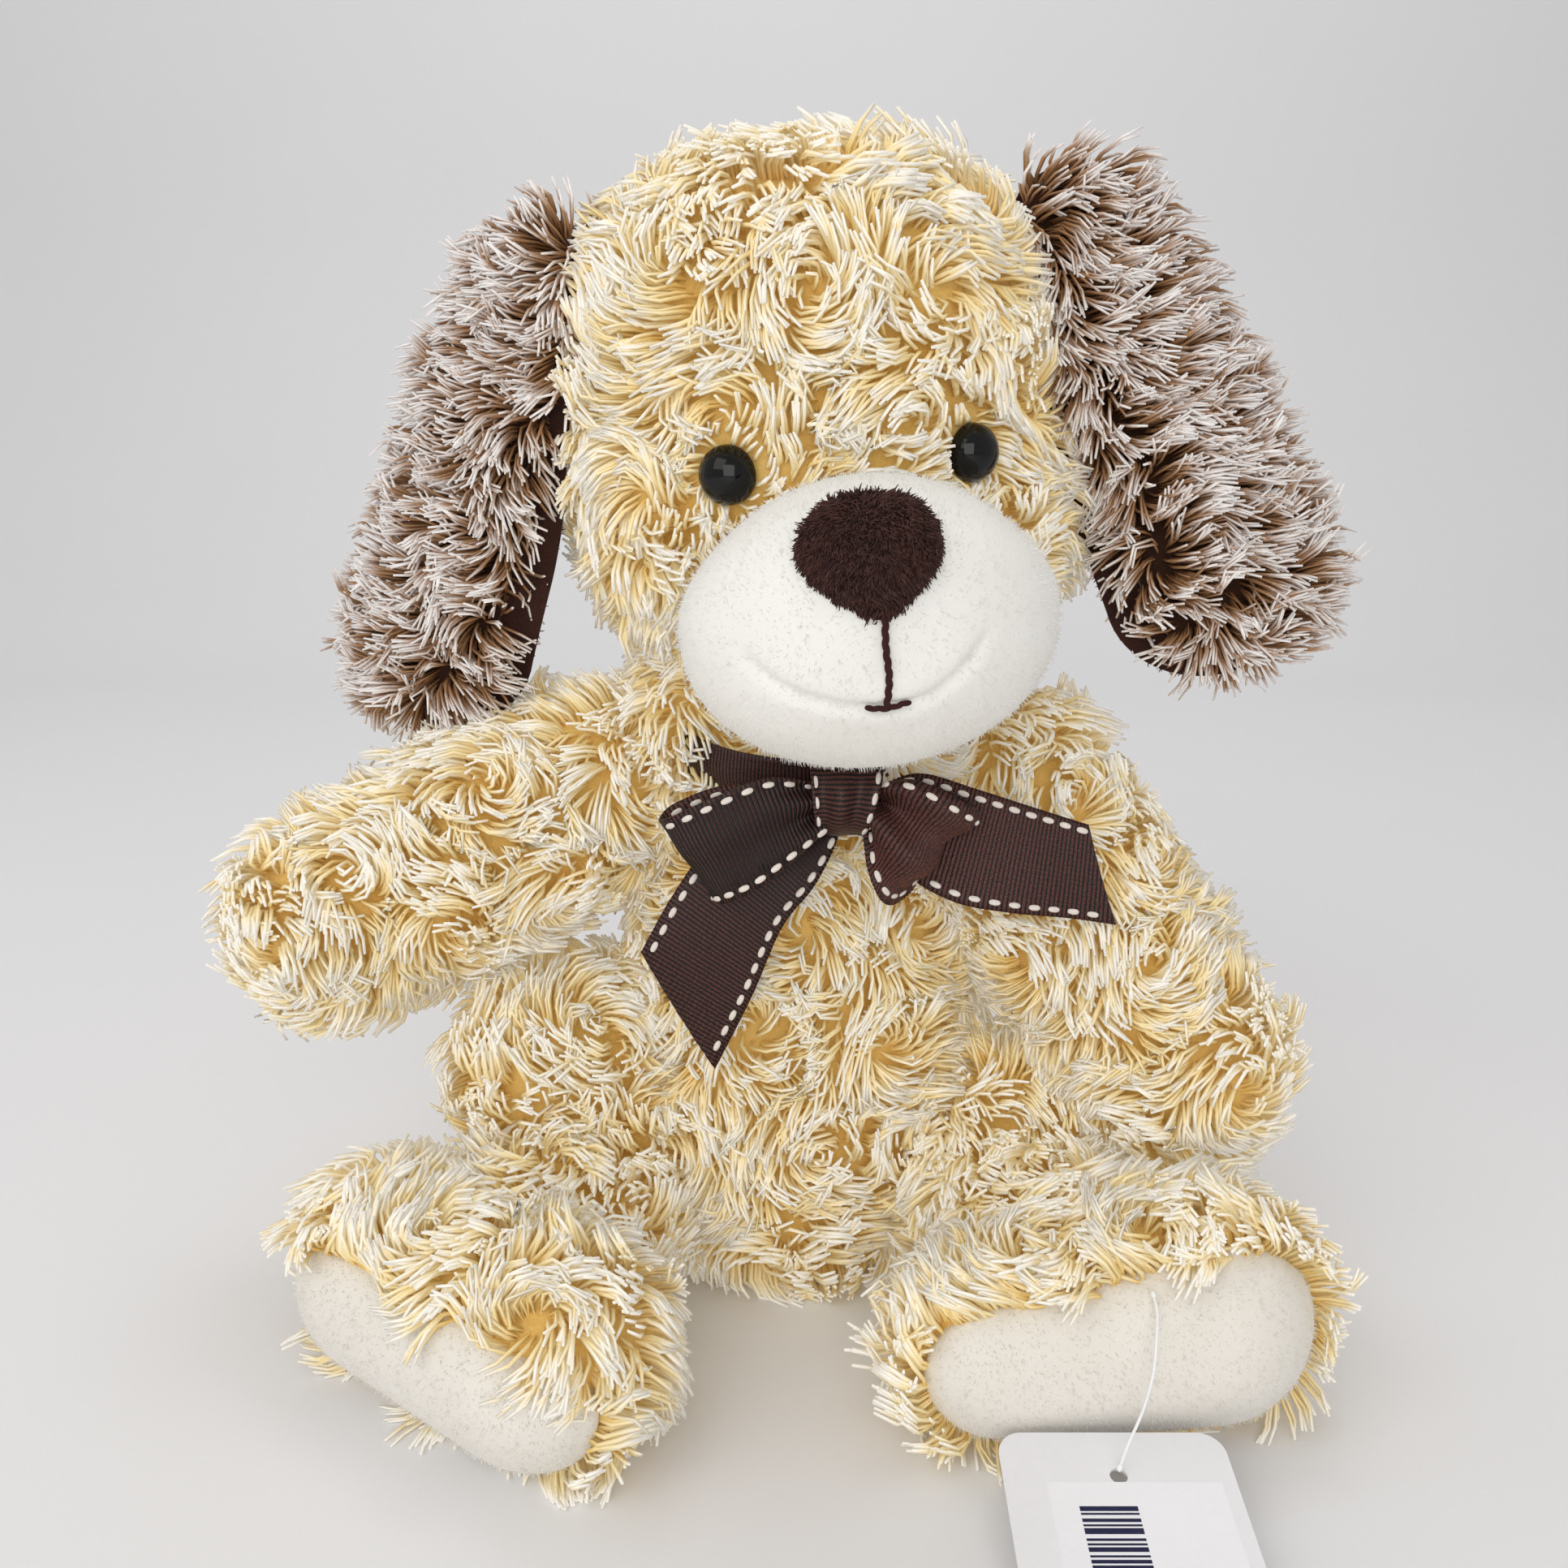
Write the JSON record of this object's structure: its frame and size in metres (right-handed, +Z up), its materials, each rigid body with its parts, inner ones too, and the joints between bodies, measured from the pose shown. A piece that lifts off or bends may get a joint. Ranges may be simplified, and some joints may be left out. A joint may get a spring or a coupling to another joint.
{
  "type": "plush dog",
  "caption": "Sewn plush dog that sits on a weighted seat, with curly fur, floppy fur ears, a padded muzzle, sole pads, a ribbon bow and a swing tag; head, ears, limbs and tail turn.",
  "frame": {"origin": "centre of the seat's flat underside, on the surface that the dog sits on", "axes": "+Z up, the dog faces -Y, +X towards the dog's own left side"},
  "size_m": [0.2535, 0.2429, 0.2692],
  "materials": {
    "cream_fur": "long curly pile, golden-cream with paler tips",
    "brown_fur": "long spiky pile, brown with off-white tips",
    "ear_lining": "smooth short plush",
    "white_plush": "dense short plush",
    "brown_plush": "short plush",
    "brown_thread": "satin embroidery thread",
    "pad_fleece": "brushed fleece",
    "fibre_fill": "loose polyester fibre",
    "pellet_cloth": "plain woven bag of plastic pellets",
    "black_eye": "polished",
    "washer_plastic": "moulded",
    "ribbon": "ribbed grosgrain with pale saddle stitches",
    "clear_filament": "clear",
    "tag_card": "coated white card"
  },
  "bodies": {
    "torso": {"torso_skin": "cream_fur", "torso_stuffing": "fibre_fill", "pellet_bag": "pellet_cloth", "neck_ribbon": "ribbon", "bow_knot": "ribbon", "bow_loop_left": "ribbon", "bow_loop_right": "ribbon", "bow_tail_left": "ribbon", "bow_tail_right": "ribbon"},
    "neck": {"neck_gusset": "cream_fur"},
    "head": {"head_skin": "cream_fur", "head_stuffing": "fibre_fill", "muzzle_skin": "white_plush", "muzzle_stuffing": "fibre_fill", "nose": "brown_plush", "mouth_stitching": "brown_thread", "eye_left": "black_eye", "eye_right": "black_eye", "eye_washer_left": "washer_plastic", "eye_washer_right": "washer_plastic"},
    "ear_left": {"ear_left_outer": "brown_fur", "ear_left_lining": "ear_lining"},
    "ear_right": {"ear_right_outer": "brown_fur", "ear_right_lining": "ear_lining"},
    "arm_left": {"arm_left_skin": "cream_fur", "arm_left_stuffing": "fibre_fill"},
    "arm_right": {"arm_right_skin": "cream_fur", "arm_right_stuffing": "fibre_fill"},
    "leg_left": {"leg_left_skin": "cream_fur", "leg_left_stuffing": "fibre_fill", "foot_left_pad": "pad_fleece", "tag_loop": "clear_filament"},
    "leg_right": {"leg_right_skin": "cream_fur", "leg_right_stuffing": "fibre_fill", "foot_right_pad": "pad_fleece"},
    "tail": {"tail_skin": "cream_fur", "tail_stuffing": "fibre_fill"},
    "tag": {"swing_tag": "tag_card"}
  },
  "joints": [
    {"name": "neck_turn", "type": "hinge", "parent": "torso", "child": "neck", "pos_m": [0.004, -0.002, 0.19], "axis": [0, 0, 1], "range_deg": [-30, 30]},
    {"name": "neck_nod", "type": "hinge", "parent": "neck", "child": "head", "pos_m": [0.004, -0.002, 0.19], "axis": [-1, 0, 0], "range_deg": [-2, 18]},
    {"name": "ear_left_flap", "type": "hinge", "parent": "head", "child": "ear_left", "pos_m": [0.05, -0.01, 0.246], "axis": [0, -1, 0], "range_deg": [0, 45]},
    {"name": "ear_right_flap", "type": "hinge", "parent": "head", "child": "ear_right", "pos_m": [-0.047, -0.01, 0.236], "axis": [0, 1, 0], "range_deg": [0, 30]},
    {"name": "shoulder_left", "type": "hinge", "parent": "torso", "child": "arm_left", "pos_m": [0.048, -0.007, 0.112], "axis": [0, -1, 0], "range_deg": [0, 50]},
    {"name": "shoulder_right", "type": "hinge", "parent": "torso", "child": "arm_right", "pos_m": [-0.048, -0.007, 0.112], "axis": [0, 1, 0], "range_deg": [-30, 10]},
    {"name": "hip_left", "type": "hinge", "parent": "torso", "child": "leg_left", "pos_m": [0.045, -0.025, 0.025], "axis": [-1, 0, 0], "range_deg": [0, 14]},
    {"name": "hip_right", "type": "hinge", "parent": "torso", "child": "leg_right", "pos_m": [-0.045, -0.025, 0.025], "axis": [-1, 0, 0], "range_deg": [0, 30]},
    {"name": "tail_wag", "type": "hinge", "parent": "torso", "child": "tail", "pos_m": [0, 0.045, 0.024], "axis": [0, 0, 1], "range_deg": [-25, 25]},
    {"name": "tag_swing", "type": "hinge", "parent": "leg_left", "child": "tag", "pos_m": [0.06, -0.116, 0.0115], "axis": [-1, 0, 0], "range_deg": [0, 60]}
  ]
}
